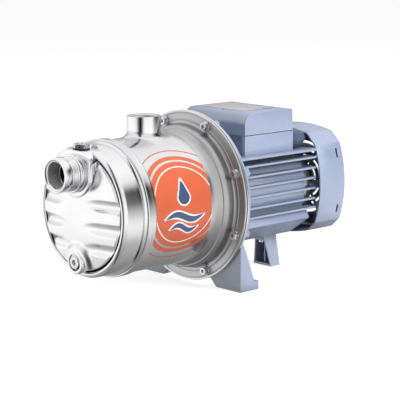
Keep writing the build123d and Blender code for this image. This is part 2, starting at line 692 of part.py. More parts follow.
save("terminal_box_base", box_base())
save("terminal_box_gasket", box_gasket())
save("terminal_box_lid", box_lid())
save("terminal_box_screws", *[lid_screw(x, y) for x, y in LID_SCREWS])
save("label_plate", block(68, 118, -30, 44, BOX_TOP, BOX_TOP + 0.6))
save("terminal_block", terminal_block())
save("terminal_screws", *[terminal_screw(y) for y in TERMINALS])
save("run_capacitor", run_capacitor())
save("gland_body", gland_body())
save("gland_nut", gland_nut())
save("gland_seal", gland_seal())
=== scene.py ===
import json
import math

import bmesh
import bpy
from mathutils import Matrix, Vector


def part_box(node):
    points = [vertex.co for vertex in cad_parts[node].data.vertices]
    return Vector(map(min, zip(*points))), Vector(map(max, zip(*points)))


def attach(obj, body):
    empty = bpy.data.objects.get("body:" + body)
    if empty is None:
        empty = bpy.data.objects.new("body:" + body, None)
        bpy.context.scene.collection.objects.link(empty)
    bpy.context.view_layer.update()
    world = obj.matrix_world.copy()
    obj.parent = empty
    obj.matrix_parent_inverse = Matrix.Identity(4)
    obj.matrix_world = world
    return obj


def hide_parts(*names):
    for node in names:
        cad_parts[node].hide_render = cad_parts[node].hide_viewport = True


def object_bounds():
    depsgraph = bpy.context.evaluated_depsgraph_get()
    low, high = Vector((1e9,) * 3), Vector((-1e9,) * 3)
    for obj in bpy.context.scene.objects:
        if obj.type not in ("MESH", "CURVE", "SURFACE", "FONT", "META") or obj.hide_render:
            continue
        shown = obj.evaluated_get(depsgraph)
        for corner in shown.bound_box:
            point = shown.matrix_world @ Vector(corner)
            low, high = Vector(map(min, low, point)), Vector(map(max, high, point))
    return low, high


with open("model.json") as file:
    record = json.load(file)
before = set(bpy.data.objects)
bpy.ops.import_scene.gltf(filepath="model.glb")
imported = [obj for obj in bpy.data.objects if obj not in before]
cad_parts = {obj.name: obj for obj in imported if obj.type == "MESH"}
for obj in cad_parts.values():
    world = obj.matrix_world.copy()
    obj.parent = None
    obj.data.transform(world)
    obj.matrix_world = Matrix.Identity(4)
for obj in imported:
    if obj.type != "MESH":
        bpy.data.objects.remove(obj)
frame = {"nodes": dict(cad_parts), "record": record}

CAD_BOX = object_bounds()
NODES = frame["nodes"]
BODY_OF = {node: body for body, nodes in frame["record"]["behaviour"]["bodies"].items()
           for node in nodes}
SLOT_OF = {part["node"]: part["material_slot"] for part in frame["record"]["subparts"]}

# ---- datum: stations are millimetres along the shaft from the pump flange's front face -----------
MM = 0.001
BARREL_LOW, BARREL_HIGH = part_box("casing_barrel")
FLANGE_SHEET = 2.5
FLANGE_X = BARREL_HIGH.x - FLANGE_SHEET * MM
AXIS_Z = (BARREL_LOW.z + BARREL_HIGH.z) / 2
AXIS_Y = (BARREL_LOW.y + BARREL_HIGH.y) / 2


def at(x, y=0.0, z=0.0):
    """Point in the row frame, in metres, from a station and offsets from the shaft in mm."""
    return Vector((FLANGE_X + x * MM, AXIS_Y + y * MM, AXIS_Z + z * MM))


def local_box(node):
    """A CAD node's box as stations and offsets from the shaft, in mm."""
    low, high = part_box(node)
    base = at(0)
    return (low - base) / MM, (high - base) / MM


# ---- camera --------------------------------------------------------------------------------------
def add_camera():
    azimuth, elevation = math.radians(-42.93), math.radians(10.34)
    target = at(23.7, 0, -8.9)
    back = Vector((math.sin(azimuth) * math.cos(elevation),
                   -math.cos(azimuth) * math.cos(elevation), math.sin(elevation)))
    camera = bpy.data.objects.new("camera", bpy.data.cameras.new("camera"))
    camera.data.lens = 136.56
    camera.data.sensor_width = 36.0
    camera.location = target + back * 1.8415
    camera.rotation_euler = back.to_track_quat("Z", "Y").to_euler()
    bpy.context.scene.collection.objects.link(camera)
    bpy.context.scene.camera = camera


# ---- material tools ------------------------------------------------------------------------------
class Graph:
    """Short names for building one material's nodes."""

    def __init__(self, name):
        self.material = bpy.data.materials.new(name)
        self.material.use_nodes = True
        self.tree = self.material.node_tree
        self.shader = next(n for n in self.tree.nodes if n.type == "BSDF_PRINCIPLED")

    def node(self, kind, **settings):
        new = self.tree.nodes.new(kind)
        for key, value in settings.items():
            setattr(new, key, value)
        return new

    def link(self, source, target):
        self.tree.links.new(source, target)

    def math(self, operation, a, b=0.0):
        new = self.node("ShaderNodeMath", operation=operation)
        for socket, value in zip(new.inputs, (a, b)):
            if isinstance(value, (int, float)):
                socket.default_value = value
            else:
                self.link(value, socket)
        return new.outputs[0]

    def coords(self):
        return self.node("ShaderNodeTexCoord").outputs["Object"]

    def offsets(self):
        """Station, Y and Z offsets from the shaft, in metres, as three sockets."""
        moved = self.node("ShaderNodeVectorMath", operation="SUBTRACT")
        self.link(self.coords(), moved.inputs[0])
        moved.inputs[1].default_value = at(0)
        split = self.node("ShaderNodeSeparateXYZ")
        self.link(moved.outputs[0], split.inputs[0])
        return split.outputs

    def vector(self, x, y, z):
        joined = self.node("ShaderNodeCombineXYZ")
        for socket, value in zip(joined.inputs, (x, y, z)):
            if isinstance(value, (int, float)):
                socket.default_value = value
            else:
                self.link(value, socket)
        return joined.outputs[0]

    def noise(self, vector, scale, detail=3.0, roughness=0.55):
        new = self.node("ShaderNodeTexNoise")
        new.inputs["Scale"].default_value = scale
        new.inputs["Detail"].default_value = detail
        new.inputs["Roughness"].default_value = roughness
        self.link(vector, new.inputs["Vector"])
        return new.outputs["Fac"]

    def remap(self, value, low, high, out_low, out_high):
        new = self.node("ShaderNodeMapRange", clamp=True)
        self.link(value, new.inputs["Value"])
        for key, number in (("From Min", low), ("From Max", high),
                            ("To Min", out_low), ("To Max", out_high)):
            new.inputs[key].default_value = number
        return new.outputs["Result"]

    def fade(self, value, span, rising=True):
        """A ramp from 0 to 1, or from 1 to 0, as a length crosses a span in mm."""
        ends = (0.0, 1.0) if rising else (1.0, 0.0)
        return self.remap(value, span[0] * MM, span[1] * MM, *ends)

    def band(self, value, start, end):
        """Fades in over one span and out again over the next."""
        return self.math("MULTIPLY", self.fade(value, start), self.fade(value, end, False))

    def mix(self, factor, a, b):
        new = self.node("ShaderNodeMix", data_type="RGBA")
        for socket, value in ((new.inputs["Factor"], factor), (new.inputs["A"], a),
                              (new.inputs["B"], b)):
            if isinstance(value, (int, float)):
                socket.default_value = value
            elif isinstance(value, tuple):
                socket.default_value = (*value, 1.0)
            else:
                self.link(value, socket)
        return new.outputs["Result"]

    def bump(self, height, strength, distance):
        new = self.node("ShaderNodeBump")
        new.inputs["Strength"].default_value = strength
        new.inputs["Distance"].default_value = distance
        self.link(height, new.inputs["Height"])
        self.link(new.outputs["Normal"], self.shader.inputs["Normal"])

    def set(self, **values):
        names = {"color": "Base Color", "metallic": "Metallic", "roughness": "Roughness",
                 "ior": "IOR", "coat": "Coat Weight", "coat_roughness": "Coat Roughness",
                 "specular": "Specular IOR Level"}
        for key, value in values.items():
            socket = self.shader.inputs[names[key]]
            if isinstance(value, tuple):
                socket.default_value = (*value, 1.0)
            elif isinstance(value, (int, float)):
                socket.default_value = value
            else:
                self.link(value, socket)


# ---- materials -----------------------------------------------------------------------------------
# Bands on the pressed sheet, as stations or radii in mm where each fades in or out: added
# roughness, and painted shade on the flange end, in the step behind the bead and in the groove round
# the dish.
ROUGH_IN, DULL_IN, FLANGE_OUT = (-38.0, -20.0), (-33.0, -22.0), (100.8, 101.6)
STEP_IN, STEP_OUT, STEP_SHADE = (-116.6, -116.2), (-115.0, -114.5), (0.04, 0.04, 0.042)
SEAM_R_IN, SEAM_R_OUT, SEAM_SHADE = (66.6, 67.3), (69.0, 69.6), (0.03, 0.03, 0.032)
SEAM_X_IN, SEAM_X_OUT = (-158.8, -157.6), (-152.0, -150.0)
DULLED = 0.60         # painted shade: colour of the flange end, darkened against the polished sheet


def drawn_steel(name, tint, rough_low, rough_high, around_x=True, shoulder=0.0, seam=False):
    """Stainless sheet with fine lines left by turning and polishing round an axis.
    shoulder adds roughness to the flange end of the barrel, darkens its colour up to the rim as
    painted shade, and paints a dark shade line into the step behind the bead. The last argument
    darkens the groove round the dish as painted shade."""
    g = Graph(name)
    x, y, z = g.offsets()
    radius = g.math("SQRT", g.math("ADD", g.math("MULTIPLY", y, y), g.math("MULTIPLY", z, z)))
    if around_x:
        lines = g.vector(g.math("MULTIPLY", x, 900.0), g.math("MULTIPLY", radius, 900.0),
                         g.math("MULTIPLY", z, 9.0))
    else:
        lines = g.vector(g.math("MULTIPLY", x, 9.0), g.math("MULTIPLY", y, 9.0),
                         g.math("MULTIPLY", z, 900.0))
    grain = g.noise(lines, 1.0, 2.0)
    cloud = g.noise(g.coords(), 22.0, 4.0)
    rough = g.math("ADD", g.remap(grain, 0.3, 0.7, rough_low, rough_high),
                   g.remap(cloud, 0.35, 0.7, -0.02, 0.035))
    if shoulder:
        pressed = g.remap(x, ROUGH_IN[0] * MM, ROUGH_IN[1] * MM, 0.0, shoulder)
        rough = g.math("ADD", rough, pressed)
    shade = g.mix(g.remap(cloud, 0.3, 0.7, 0.0, 1.0), tuple(0.93 * c for c in tint), tint)
    if shoulder:
        # Painted shade: the colour of the flange end is darkened up to its rim.
        dull = g.math("MULTIPLY", g.fade(x, DULL_IN), g.fade(radius, FLANGE_OUT, False))
        shade = g.mix(dull, shade, tuple(DULLED * c for c in tint))
        # Painted shade: a dark line laid in the step behind the bead.
        shade = g.mix(g.band(x, STEP_IN, STEP_OUT), shade, STEP_SHADE)
    if seam:
        # Painted shade: the groove round the dish is darkened.
        inside = g.math("MULTIPLY", g.band(radius, SEAM_R_IN, SEAM_R_OUT),
                        g.band(x, SEAM_X_IN, SEAM_X_OUT))
        shade = g.mix(inside, shade, SEAM_SHADE)
    g.set(color=shade, metallic=1.0, roughness=rough)
    g.bump(grain, 0.10, 0.00004)
    return g.material


def pickled_steel(name):
    """Dull grey inside of a welded socket."""
    g = Graph(name)
    cloud = g.noise(g.coords(), 160.0, 4.0)
    g.set(color=g.mix(cloud, (0.34, 0.34, 0.345), (0.50, 0.50, 0.505)), metallic=0.25,
          roughness=g.remap(cloud, 0.3, 0.7, 0.42, 0.6))
    g.bump(cloud, 0.15, 0.0001)
    return g.material


def plated_steel(name, tint, roughness):
    g = Graph(name)
    spots = g.noise(g.coords(), 260.0, 4.0)
    g.set(color=g.mix(g.remap(spots, 0.35, 0.7, 0.0, 1.0), tuple(0.82 * c for c in tint), tint),
          metallic=1.0, roughness=g.remap(spots, 0.3, 0.7, roughness, roughness + 0.14))
    g.bump(spots, 0.06, 0.0001)
    return g.material


def painted(name, paint, roughness, peel_scale=420.0, peel=0.12, gloss=2.4, grime=0.0):
    """Satin paint or a pigmented moulding with orange peel and slight shade variation.
    The last argument sets how far the colour is darkened in narrow corners, such as between the
    fins: painted shade."""
    g = Graph(name)
    peel_noise = g.noise(g.coords(), peel_scale, 2.0)
    cloud = g.noise(g.coords(), 14.0, 4.0)
    shade = g.mix(g.remap(cloud, 0.3, 0.7, 0.0, 1.0), tuple(0.94 * c for c in paint),
                  tuple(min(1.0, 1.05 * c) for c in paint))
    if grime:
        # Painted shade: the colour darkens where the surface is hemmed in, as between the fins.
        corner = g.node("ShaderNodeAmbientOcclusion", samples=6)
        corner.inputs["Distance"].default_value = 0.016
        dirt = g.remap(corner.outputs["AO"], 0.25, 0.85, grime, 0.0)
        shade = g.mix(dirt, shade, tuple(0.16 * c for c in paint))
    g.set(color=shade, metallic=0.0, ior=gloss,
          roughness=g.remap(peel_noise, 0.3, 0.7, roughness, roughness + 0.08))
    g.bump(peel_noise, peel, 0.00012)
    return g.material


def rubber(name, shade):
    g = Graph(name)
    grain = g.noise(g.coords(), 900.0, 3.0)
    g.set(color=g.mix(grain, shade, tuple(1.6 * c + 0.004 for c in shade)),
          roughness=g.remap(grain, 0.3, 0.7, 0.62, 0.8), specular=0.35)
    g.bump(grain, 0.2, 0.0001)
    return g.material


def laminated(name):
    """Stacked steel sheets: thin lines across the shaft."""
    g = Graph(name)
    stack = g.math("FRACT", g.math("MULTIPLY", g.offsets()[0], 2000.0))
    edge = g.math("GREATER_THAN", stack, 0.8)
    rust = g.noise(g.coords(), 120.0, 4.0)
    metal = g.mix(g.remap(rust, 0.4, 0.75, 0.0, 1.0), (0.20, 0.20, 0.21), (0.30, 0.25, 0.20))
    g.set(color=g.mix(edge, metal, (0.06, 0.06, 0.065)), metallic=0.8,
          roughness=g.remap(rust, 0.3, 0.7, 0.35, 0.55))
    g.bump(edge, 0.3, 0.00005)
    return g.material


def wound_copper(name):
    """Enamelled wire lying round the shaft."""
    g = Graph(name)
    x, y, z = g.offsets()
    radius = g.math("SQRT", g.math("ADD", g.math("MULTIPLY", y, y), g.math("MULTIPLY", z, z)))
    wobble = g.noise(g.coords(), 60.0, 2.0)
    turns = g.math("ADD", g.math("MULTIPLY", g.math("ADD", x, radius), 1400.0),
                   g.math("MULTIPLY", wobble, 4.0))
    wire = g.math("ABSOLUTE", g.math("SINE", g.math("MULTIPLY", turns, math.pi)))
    g.set(color=g.mix(wire, (0.12, 0.035, 0.015), (0.62, 0.22, 0.08)), metallic=0.75,
          roughness=g.remap(wobble, 0.3, 0.7, 0.25, 0.4))
    g.bump(wire, 0.5, 0.0003)
    return g.material


def speckled(name, base, fleck, roughness, coat=0.0):
    g = Graph(name)
    flecks = g.noise(g.coords(), 700.0, 2.0)
    g.set(color=g.mix(g.remap(flecks, 0.45, 0.65, 0.0, 1.0), base, fleck),
          roughness=g.remap(flecks, 0.3, 0.7, roughness, roughness + 0.1), coat=coat)
    g.bump(flecks, 0.08, 0.0001)
    return g.material


MATERIALS = {}


def make_materials():
    paint = (0.180, 0.222, 0.320)
    MATERIALS.update({
        # Painted shade in the groove round the dish.
        "stainless": drawn_steel("stainless", (0.80, 0.80, 0.81), 0.12, 0.19, seam=True),
        # Painted shade on the flange end and in the step behind the bead.
        "stainless_barrel": drawn_steel("stainless_barrel", (0.72, 0.72, 0.73), 0.12, 0.19,
                                        shoulder=0.2),
        "stainless_upright": drawn_steel("stainless_upright", (0.80, 0.80, 0.81), 0.07, 0.12,
                                         False),
        "socket_bore": pickled_steel("socket_bore"),
        "faced_rim": plated_steel("faced_rim", (0.62, 0.62, 0.63), 0.30),
        "plated_fasteners": plated_steel("plated_fasteners", (0.74, 0.74, 0.76), 0.16),
        # The painted casing gets painted shade in the corners between its fins.
        "grey_cast_aluminium": painted("grey_cast_aluminium", paint, 0.30, 1400.0, 0.02,
                                       grime=0.8),
        "bare_aluminium": plated_steel("bare_aluminium", (0.88, 0.88, 0.89), 0.26),
        "grey_moulding": painted("grey_moulding", (0.185, 0.226, 0.325), 0.27, 1600.0, 0.012),
        "dark_grey_moulding": painted("dark_grey_moulding", (0.045, 0.064, 0.110), 0.34, 700.0, 0.03,
                                      1.6),
        "black_moulding": speckled("black_moulding", (0.018, 0.018, 0.02), (0.04, 0.04, 0.042), 0.4),
        "rubber_seals": rubber("rubber_seals", (0.012, 0.012, 0.013)),
        "shaft_steel": drawn_steel("shaft_steel", (0.62, 0.62, 0.64), 0.14, 0.26),
        "laminations": laminated("laminations"),
        "copper": wound_copper("copper"),
        "brass_parts": plated_steel("brass_parts", (0.80, 0.57, 0.24), 0.22),
        "ceramic": speckled("ceramic", (0.86, 0.83, 0.77), (0.9, 0.88, 0.83), 0.12, 0.4),
        "carbon": speckled("carbon", (0.02, 0.02, 0.022), (0.05, 0.05, 0.055), 0.3),
        "white_moulding": painted("white_moulding", (0.80, 0.80, 0.78), 0.3, gloss=1.5),
        "label": plated_steel("label", (0.66, 0.63, 0.64), 0.34),
    })


# ---- mesh tools ----------------------------------------------------------------------------------
def finish_mesh(name, mesh, node_or_body, material, replaced=(), sharp=38.0):
    """Link a mesh as one piece, shade it, parent it to the body it rides on, and hide the CAD nodes
    it replaces.
    """
    mesh.shade_smooth()
    mesh.set_sharp_from_angle(angle=math.radians(sharp))
    piece = bpy.data.objects.new(name, mesh)
    bpy.context.scene.collection.objects.link(piece)
    mesh.materials.clear()
    mesh.materials.append(MATERIALS[material])
    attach(piece, BODY_OF.get(node_or_body, node_or_body))
    if replaced:
        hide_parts(*replaced)
    return piece


def mesh_from(name, points, faces):
    mesh = bpy.data.meshes.new(name)
    mesh.from_pydata([tuple(p) for p in points], [], faces)
    work = bmesh.new()
    work.from_mesh(mesh)
    bmesh.ops.remove_doubles(work, verts=work.verts, dist=2e-6)
    bmesh.ops.dissolve_degenerate(work, edges=work.edges, dist=1e-6)
    bmesh.ops.recalc_face_normals(work, faces=work.faces)
    work.to_mesh(mesh)
    work.free()
    return mesh


def grid_faces(rows, columns):
    """Quads over rings of points, the last ring joined back to the first."""
    return [(i * columns + j, i * columns + (j + 1) % columns,
             ((i + 1) % rows) * columns + (j + 1) % columns, ((i + 1) % rows) * columns + j)
            for i in range(rows) for j in range(columns)]


def lathe(name, profile, segments=192, centre=(0, 0), axis="X"):
    """Turn a profile of (station along the axis, radius) in mm into a mesh.
    centre is (Y, Z) for an axis along X, and (X, Y) for an axis along Z."""
    points = []
    for along, radius in profile:
        for k in range(segments):
            turn = 2 * math.pi * k / segments
            a, b = radius * math.cos(turn), radius * math.sin(turn)
            points.append(at(along, centre[0] + a, centre[1] + b) if axis == "X"
                          else at(centre[0] + a, centre[1] + b, along))
    return mesh_from(name, points, grid_faces(len(profile), segments))


def arc(cx, cy, radius, start, end, steps=8):
    """Points on an arc, angles in degrees from the first axis."""
    return [(cx + radius * math.cos(math.radians(start + (end - start) * k / steps)),
             cy + radius * math.sin(math.radians(start + (end - start) * k / steps)))
            for k in range(steps + 1)]


def join_meshes(name, meshes):
    work = bmesh.new()
    for mesh in meshes:
        work.from_mesh(mesh)
        bpy.data.meshes.remove(mesh)
    joined = bpy.data.meshes.new(name)
    work.to_mesh(joined)
    work.free()
    return joined


def evaluated(mesh, setup):
    """A copy of the mesh with the modifiers that setup adds to it applied."""
    holder = bpy.data.objects.new("holder", mesh)
    bpy.context.scene.collection.objects.link(holder)
    setup(holder)
    graph = bpy.context.evaluated_depsgraph_get()
    result = bpy.data.meshes.new_from_object(holder.evaluated_get(graph))
    bpy.data.objects.remove(holder)
    return result


def cut(mesh, cutter_mesh):
    """The mesh less the cutter's volume."""
    cutter = bpy.data.objects.new("cutter", cutter_mesh)
    bpy.context.scene.collection.objects.link(cutter)

    def setup(holder):
        modifier = holder.modifiers.new("cut", "BOOLEAN")
        modifier.operation = "DIFFERENCE"
        modifier.solver = "EXACT"
        modifier.object = cutter

    result = evaluated(mesh, setup)
    bpy.data.objects.remove(cutter)
    return result


BEVEL_SEGMENTS, BEVEL_ANGLE = 2, 32.0


def refined(node, bevel):
    """A cleaned copy of a CAD node with its hard edges rounded over, shown in its place."""
    mesh = NODES[node].data.copy()
    work = bmesh.new()
    work.from_mesh(mesh)
    bmesh.ops.remove_doubles(work, verts=work.verts, dist=2e-6)
    bmesh.ops.dissolve_limit(work, angle_limit=math.radians(0.6), verts=work.verts,
                             edges=work.edges, use_dissolve_boundaries=False)
    work.to_mesh(mesh)
    work.free()

    def setup(holder):
        modifier = holder.modifiers.new("round", "BEVEL")
        modifier.width = bevel * MM
        modifier.segments = BEVEL_SEGMENTS
        modifier.limit_method = "ANGLE"
        modifier.angle_limit = math.radians(BEVEL_ANGLE)
        modifier.use_clamp_overlap = True

    result = evaluated(mesh, setup)
    result.name = node
    return finish_mesh(node + "_look", result, node, SLOT_OF[node], [node])


# ---- pump body -----------------------------------------------------------------------------------
HEAD_R, BARREL_R, FLANGE_R = 76.0, 78.0, 103.0
BARREL_INNER = 76.5
DISH_X, DISH_R = -169.0, 66.5
PAD_X, PAD_END, PAD_HALF, PAD_TOP = -170.0, -146.0, 27.0, 72.0
SUCTION_Z = 45.7
DRAIN_Z = sum(corner.z for corner in local_box("drain_boss")) / 2
PORT_OD, PORT_THREAD_R, PORT_WATER_R = 20.0, 16.6, 14.5
# The flutes lie level, the same on both sides: height, where each starts from the middle, depth.
FLUTES = ((12.5, 17.0, 3.3), (-14.0, 13.0, 3.5), (-38.5, 11.0, 3.3))
FLUTE_HALF = 7.6
# The crease beside the pad runs between these two points, as (distance from the middle, height).
CREASE_TOP, CREASE_FOOT, CREASE_STEP = (37.0, 66.0), (21.2, 31.9), 2.2


def smooth(value, low, high):
    t = min(1.0, max(0.0, (value - low) / (high - low)))
    return t * t * (3 - 2 * t)


def flute_depth(y, z):
    """How far the dish is scooped in at a point, in mm."""
    deepest = 0.0
    for height, start, depth in FLUTES:
        end = math.sqrt(DISH_R ** 2 - height ** 2)
        reach = (abs(y) - start) / (end - start)
        if reach <= 0:
            continue
        half = FLUTE_HALF * math.sqrt(1 - (1 - min(1.0, 1.6 * reach)) ** 2) + 0.01
        across = (z - height) / half
        if abs(across) < 1:
            trough = (1 - across ** 2) ** 1.3
            deepest = max(deepest, depth * trough * smooth(reach, -0.05, 0.55))
    return deepest


def crease_depth(y, z):
    """Step down from the dish to the narrow facet between it and the pad, in mm."""
    run = (CREASE_TOP[0] - CREASE_FOOT[0], CREASE_TOP[1] - CREASE_FOOT[1])
    length = math.hypot(*run)
    past = ((abs(y) - CREASE_FOOT[0]) * -run[1] + (z - CREASE_FOOT[1]) * run[0]) / length
    return CREASE_STEP * smooth(past, 0.0, 1.4) * smooth(z, 30.0, 37.0)


def dish_station(radius):
    return DISH_X + 8.4 * (radius / DISH_R) ** 2.3


def head_profile():
    """(station, radius, flute share) from the dish's centre out and back to the seam."""
    outer = [(dish_station(r), r, 1.0) for r in [0.01] + [1.5 * k for k in range(1, 44)]]
    outer += [(dish_station(DISH_R - 0.5), DISH_R - 0.5, 1.0), (-160.1, DISH_R + 0.1, 0.8),
              (-158.2, DISH_R + 0.7, 0.3), (-155.9, 67.7, 0.0), (-155.1, 68.3, 0.0),
              (-155.6, 68.9, 0.0), (-157.0, 69.2, 0.0)]
    outer += [(x, r, 0.0) for x, r in arc(-157.4, 71.7, 2.6, 260, 150, 10)]
    outer += [(x, r, 0.0) for x, r in arc(-153.8, 69.6, 6.4, 130, 90, 10)]
    outer += [(-146.7, HEAD_R, 0.0), (-145.3, HEAD_R, 0.0), (-138.0, HEAD_R, 0.0)]
    outer += [(x, r, 0.0) for x, r in arc(-133.0, 73.5, 2.5, 90, 50, 4)]
    outer += [(-130.0, 76.9, 0.0), (-128.6, 77.8, 0.0), (-127.5, 78.0, 0.0), (-121.0, 78.0, 0.0)]
    inner = [(-121.0, 76.5, 0.0), (-127.4, 76.5, 0.0), (-131.0, 74.5, 0.0), (-150.0, 74.4, 0.0),
             (-154.0, 70.0, 0.0), (-154.0, 66.0, 0.0), (-158.0, 50.0, 0.0), (-163.0, 20.0, 0.0),
             (-164.0, 0.01, 0.0)]
    return outer + inner


SWELL, SWELL_FULL_R, SWELL_END_R = 5.0, 14.0, 25.0


def drain_swell(y, z):
    """How far the dish swells forward to meet the drain boss, in mm."""
    away = math.hypot(y, z - DRAIN_Z)
    return SWELL * (1 - smooth(away, SWELL_FULL_R, SWELL_END_R))


def front_head():
    segments = 540
    points = []
    profile = head_profile()
    for x, radius, share in profile:
        for k in range(segments):
            degrees = 360.0 * k / segments - 180.0
            angle = math.radians(degrees)
            y, z = -radius * math.sin(angle), radius * math.cos(angle)
            pressed = max(flute_depth(y, z), crease_depth(y, z))
            station = x + share * (pressed - drain_swell(y, z))
            if station < PAD_END and radius > 60 and z > PAD_TOP - 0.4 and radius < 76.5:
                z = PAD_TOP - 0.4
            points.append(at(station, y, z))
    body = mesh_from("front_head", points, grid_faces(len(profile), segments))
    tunnel = lathe("tunnel", [(-175, 0.01), (-175, 18.8), (-150, 18.8), (-150, 0.01)], 96,
                   (0, SUCTION_Z))
    body = cut(body, tunnel)
    mesh = join_meshes("front_head_look", [body, port_pad()])
    return finish_mesh("front_head_look", mesh, "front_head", "stainless", ["front_head"], 30)


def pad_reach(degrees, inset):
    """Distance from the port's centre to the pad's edge; degrees from straight up."""
    angle = math.radians(degrees)
    direction = (math.sin(angle), math.cos(angle))
    corner = 14.0
    rise = PAD_TOP - SUCTION_Z
    if math.cos(angle) < -0.268:
        return PAD_HALF + 1 - inset
    reach = min(PAD_HALF / max(1e-6, abs(direction[0])), rise / max(1e-6, direction[1]))
    y, z = abs(direction[0]) * reach, direction[1] * reach
    cy, cz = PAD_HALF - corner, rise - corner
    if y > cy and z > cz:
        along = cy * abs(direction[0]) + cz * direction[1]
        reach = along + math.sqrt(along ** 2 - (cy ** 2 + cz ** 2 - corner ** 2))
    return min(reach, PAD_HALF + 1) - inset if direction[1] < 0 else reach - inset


def port_pad():
    """The raised pad that carries the suction socket."""
    segments = 288
    rings = [(-150.0, None), (PAD_X, None), (PAD_X, 4.0), (PAD_X, 1.7), (PAD_X + 0.2, 0.9),
             (PAD_X + 0.6, 0.3), (PAD_X + 1.4, 0.0), (PAD_X + 6, 0.0), (PAD_END + 1.0, 0.0)]
    points = []
    for x, inset in rings:
        for k in range(segments):
            degrees = 360.0 * k / segments
            radius = 18.8 if inset is None else pad_reach(degrees, inset)
            angle = math.radians(degrees)
            points.append(at(x, -radius * math.sin(angle), SUCTION_Z + radius * math.cos(angle)))
    return mesh_from("pad", points, grid_faces(len(rings), segments))


def barrel_profile():
    """Outside from the bead to the flange rim, then back along the inside."""
    outer = [(-128.0, 78.1), (-128.0, 79.0)]
    outer += arc(-126.6, 78.6, 1.4, 160, 90, 5)
    outer += [(-124.0, 80.0), (-121.2, 79.75), (-119.0, 80.0)]
    outer += arc(-117.4, 78.5, 1.5, 90, 20, 5)
    outer += [(-115.6, 78.35), (-115.0, BARREL_R), (-100, BARREL_R), (-65, BARREL_R),
              (-30.5, BARREL_R)]
    outer += arc(-29.0, 99.0, 21.0, 272, 308, 10)
    outer += arc(-8.6, 74.4, 11.6, 128, 92, 8)
    outer += [(-6.0, 86.0), (-3.6, 86.05)]
    outer += arc(-3.0, 89.2, 3.1, 268, 355, 8)
    outer += [(0.0, 90.2)]
    outer += arc(0.0, 91.6, 0.8, 265, 95, 8)
    outer += [(0.0, 93.0), (0.0, 98.8), (0.35, 99.3), (0.0, 99.9), (0.0, 100.5), (0.3, 100.9)]
    outer += arc(1.3, FLANGE_R - 1.3, 1.3, 150, 90, 7)
    outer += [(1.9, FLANGE_R), (2.4, FLANGE_R - 0.5)]
    inner = [(2.5, 84.6), (-7.0, 84.5), (-11.0, 83.6), (-20.0, 79.0), (-29.0, BARREL_INNER),
             (-118.0, BARREL_INNER), (-120.5, 78.05), (-127.9, 78.05)]
    return outer + inner


def discharge_collar(x0):
    """The wall drawn up out of the barrel round the discharge socket."""
    segments, steps = 160, 16
    reach = 12.5
    points = []
    rings = [(PORT_OD + reach * (1 - k / steps), k / steps) for k in range(steps + 1)]
    for radius, t in rings:
        lift = reach * (1 - math.sqrt(max(0.0, 1 - t ** 2.6))) * 0.62
        for k in range(segments):
            turn = 2 * math.pi * k / segments
            x, y = radius * math.cos(turn), radius * math.sin(turn)
            skin = math.sqrt(BARREL_R ** 2 - y ** 2)
            points.append(at(x0 + x, y, skin - 0.12 + lift + 0.14 * smooth(t, 0.0, 0.2)))
    for radius in (PORT_OD - 0.3, PORT_OD + reach):
        for k in range(segments):
            turn = 2 * math.pi * k / segments
            x, y = radius * math.cos(turn), radius * math.sin(turn)
            points.append(at(x0 + x, y, math.sqrt(BARREL_R ** 2 - y ** 2) - 1.4))
    return mesh_from("collar", points, grid_faces(len(rings) + 2, segments))


def casing_barrel():
    low, high = local_box("discharge_socket")
    x0 = (low.x + high.x) / 2
    shell = lathe("casing_barrel", barrel_profile(), 360)
    well = lathe("well", [(60, 0.01), (60, PORT_OD - 0.2), (95, PORT_OD - 0.2), (95, 0.01)], 96,
                 (x0, 0), "Z")
    shell = cut(shell, well)
    mesh = join_meshes("casing_barrel_look", [shell, discharge_collar(x0)])
    return finish_mesh("casing_barrel_look", mesh, "casing_barrel", "stainless_barrel",
                       ["casing_barrel"], 30)


def thread_profile(start, end, radius, pitch=2.309, depth=1.1):
    """Female pipe thread as a run of vees from one station to another."""
    step = pitch if end > start else -pitch
    turns = int(abs(end - start) / pitch)
    points = []
    for k in range(turns):
        base = start + k * step
        points += [(base, radius - depth), (base + 0.5 * step, radius)]
    return points + [(end, radius - depth)]


def socket_profile(mouth, inward, length, grooves):
    """Round socket: chamfered mouth, plain band, rolled grooves, and the thread inside."""
    def s(distance):
        return mouth + inward * distance
    outer = [(s(1.1), PORT_THREAD_R + 0.2), (s(0.25), PORT_THREAD_R + 1.1), (s(0.0), 18.0),
             (s(0.0), 19.3), (s(0.25), 19.8), (s(0.7), PORT_OD)]
    for first, last in grooves:
        count = int((last - first) / 1.9)
        for k in range(count):
            place = first + 1.9 * k
            outer += [(s(place), PORT_OD), (s(place + 0.5), PORT_OD - 0.28),
                      (s(place + 1.1), PORT_OD - 0.28), (s(place + 1.6), PORT_OD)]
    outer += [(s(length), PORT_OD), (s(length), PORT_WATER_R)]
    thread = thread_profile(s(18.0), s(1.6), PORT_THREAD_R)
    return outer + [(s(18.6), PORT_WATER_R)] + thread


def bore_liner(name, node, ends, centre, axis):
    """Dull skin over the inside of a socket, threads and all."""
    (start, r0), (end, r1) = ends
    steps = 12
    skin = [(start + (end - start) * k / steps, r0 + (r1 - r0) * k / steps)
            for k in range(steps + 1)]
    mesh = lathe(name, skin + [(end, r1 + 0.15), (start, r0 + 0.15)], 128, centre, axis)
    finish_mesh(name, mesh, node, "socket_bore")


